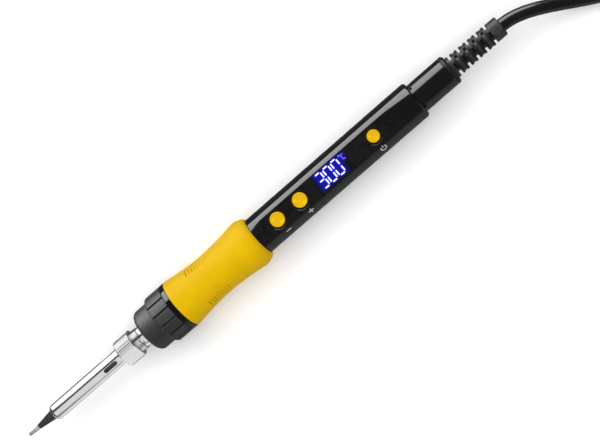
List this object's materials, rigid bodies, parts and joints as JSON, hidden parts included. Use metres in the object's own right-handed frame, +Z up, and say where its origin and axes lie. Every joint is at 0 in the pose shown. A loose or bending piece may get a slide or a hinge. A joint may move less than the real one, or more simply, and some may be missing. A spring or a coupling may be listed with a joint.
{
  "type": "soldering iron",
  "caption": "Mains soldering iron with a temperature display, push buttons, screw-on tip sleeve and collar, soft hourglass grip, and a cord folded into a tied hank with a moulded plug.",
  "frame": {"origin": "on the surface it lies on, under the middle of the tool's length and on its axis", "axes": "+X along the tool from the tip to the cord, +Z up out of the button panel, +Y across"},
  "size_m": [0.4888, 0.054, 0.034],
  "materials": {
    "tip_iron": "dark plating with a bright tinned end",
    "sleeve_steel": "polished",
    "nut_steel": "bright plated",
    "nipple_steel": "bright plated",
    "alumina": "fired, unglazed",
    "spring_steel": "drawn wire",
    "holder_plastic": "heat resistant, matte",
    "lead_red": "silicone insulation",
    "lead_white": "silicone insulation",
    "collar_plastic": "fine matte with worn sheen on the panels",
    "handle_plastic": "high gloss black",
    "grip_silicone": "soft satin",
    "button_plastic": "satin with a polished edge",
    "window_lens": "backlit blue lens",
    "display_body": "moulded",
    "switch_body": "matte",
    "switch_plunger": "matte",
    "board_laminate": "solder mask",
    "chip_black": "moulded epoxy",
    "capacitor_film": "dipped",
    "capacitor_can": "sleeved can",
    "fuse_glass": "clear tube",
    "tail_plastic": "high gloss black",
    "relief_rubber": "satin",
    "tie_nylon": "natural nylon",
    "cord_sheath": "smooth satin sheath",
    "wire_brown": "smooth",
    "wire_blue": "smooth",
    "wire_earth": "smooth, green with a yellow stripe",
    "tie_fabric": "hook and loop strap",
    "plug_rubber": "moulded satin",
    "plug_metal": "polished"
  },
  "bodies": {
    "handle": {"heating_element": "alumina", "heater_collar": "alumina", "earth_spring": "spring_steel", "heater_holder": "holder_plastic", "heater_leads": "lead_red", "sensor_leads": "lead_white", "handle_shell": "handle_plastic", "grip_sleeve": "grip_silicone", "display_window": "window_lens", "display_module": "display_body", "button_switches": "switch_body", "circuit_board": "board_laminate", "controller_chip": "chip_black", "triac": "chip_black", "film_capacitor": "capacitor_film", "smoothing_capacitor": "capacitor_can", "fuse": "fuse_glass", "tail_plug": "tail_plastic", "strain_relief": "relief_rubber", "cable_tie": "tie_nylon", "cord_inner_end": "cord_sheath", "brown_wire": "wire_brown", "blue_wire": "wire_blue", "earth_wire": "wire_earth", "cord_lead": "cord_sheath", "cord_hank": "cord_sheath", "cord_tie": "tie_fabric", "cord_end": "cord_sheath", "plug_body": "plug_rubber", "plug_blades": "plug_metal", "plug_earth_pin": "plug_metal"},
    "barrel": {"threaded_nipple": "nipple_steel"},
    "front_collar": {"front_collar": "collar_plastic"},
    "sleeve": {"tip_sleeve": "sleeve_steel", "soldering_tip": "tip_iron"},
    "sleeve_nut": {"sleeve_nut": "nut_steel"},
    "minus_button": {"minus_button": "button_plastic", "minus_plunger": "switch_plunger"},
    "plus_button": {"plus_button": "button_plastic", "plus_plunger": "switch_plunger"},
    "power_button": {"power_button": "button_plastic", "power_plunger": "switch_plunger"}
  },
  "joints": [
    {"name": "barrel_slide", "type": "slide", "parent": "handle", "child": "barrel", "axis": [-1, 0, 0], "range_m": [0, 0.01]},
    {"name": "collar_turn", "type": "hinge", "parent": "barrel", "child": "front_collar", "pos_m": [-0.055, 0, 0.01225], "axis": [-1, 0, 0], "range_deg": [0, 2881]},
    {"name": "sleeve_slide", "type": "slide", "parent": "barrel", "child": "sleeve", "axis": [-1, 0, 0], "range_m": [0, 0.0048]},
    {"name": "nut_turn", "type": "hinge", "parent": "sleeve", "child": "sleeve_nut", "pos_m": [-0.077, 0, 0.01225], "axis": [-1, 0, 0], "range_deg": [0, 2161]},
    {"name": "minus_press", "type": "slide", "parent": "handle", "child": "minus_button", "axis": [0, 0, -1], "range_m": [0, 0.0004], "stiffness_N_per_m": 1500},
    {"name": "plus_press", "type": "slide", "parent": "handle", "child": "plus_button", "axis": [0, 0, -1], "range_m": [0, 0.0004], "stiffness_N_per_m": 1500},
    {"name": "power_press", "type": "slide", "parent": "handle", "child": "power_button", "axis": [0, 0, -1], "range_m": [0, 0.0004], "stiffness_N_per_m": 1500}
  ],
  "couplings": [
    {"joint": "collar_turn", "follows": "barrel_slide", "rad_per_m": 5026.5},
    {"joint": "nut_turn", "follows": "sleeve_slide", "rad_per_m": 7854}
  ]
}
